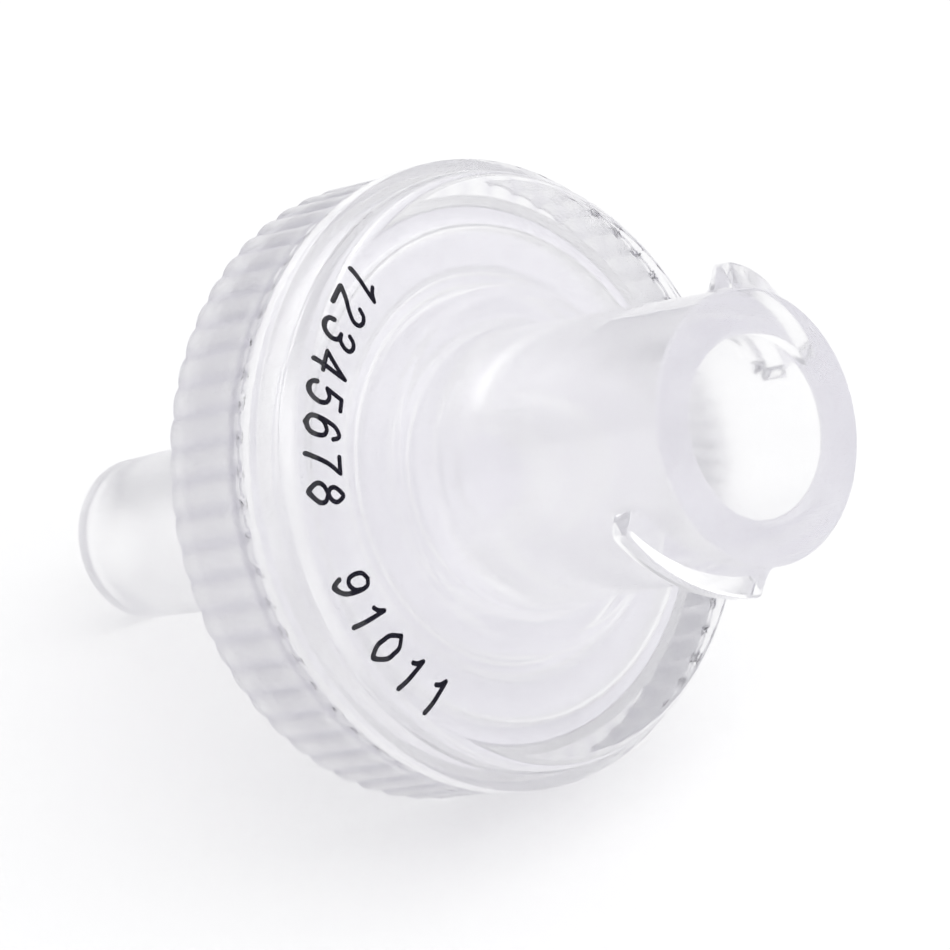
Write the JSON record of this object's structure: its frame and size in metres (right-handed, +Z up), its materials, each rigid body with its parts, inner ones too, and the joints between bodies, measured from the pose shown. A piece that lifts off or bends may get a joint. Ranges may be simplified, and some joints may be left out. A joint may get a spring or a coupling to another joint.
{
  "type": "syringe filter",
  "caption": "Small clear syringe filter: Luer lock inlet, a ribbed rim clamping a filter membrane, and a Luer slip outlet. It lies on its rim and outlet tip.",
  "frame": {"origin": "middle of the bounding box in X and Y, on the floor", "axes": "+X towards the inlet, which is raised 28 degrees over the floor; +Z up; the axis of the filter lies in the XZ plane"},
  "size_m": [0.0222, 0.0152, 0.0153],
  "materials": {
    "clear_inlet_plastic": "clear, smooth",
    "clear_outlet_plastic": "clear, smooth",
    "clear_ring_plastic": "clear, lightly frosted on the ribs",
    "glass_fibre": "matt felted fibre",
    "nylon": "smooth, matt"
  },
  "bodies": {
    "root": {"inlet_housing": "clear_inlet_plastic", "outlet_housing": "clear_outlet_plastic", "ribbed_ring": "clear_ring_plastic", "glass_fibre_prefilter": "glass_fibre", "nylon_membrane": "nylon"}
  },
  "joints": []
}
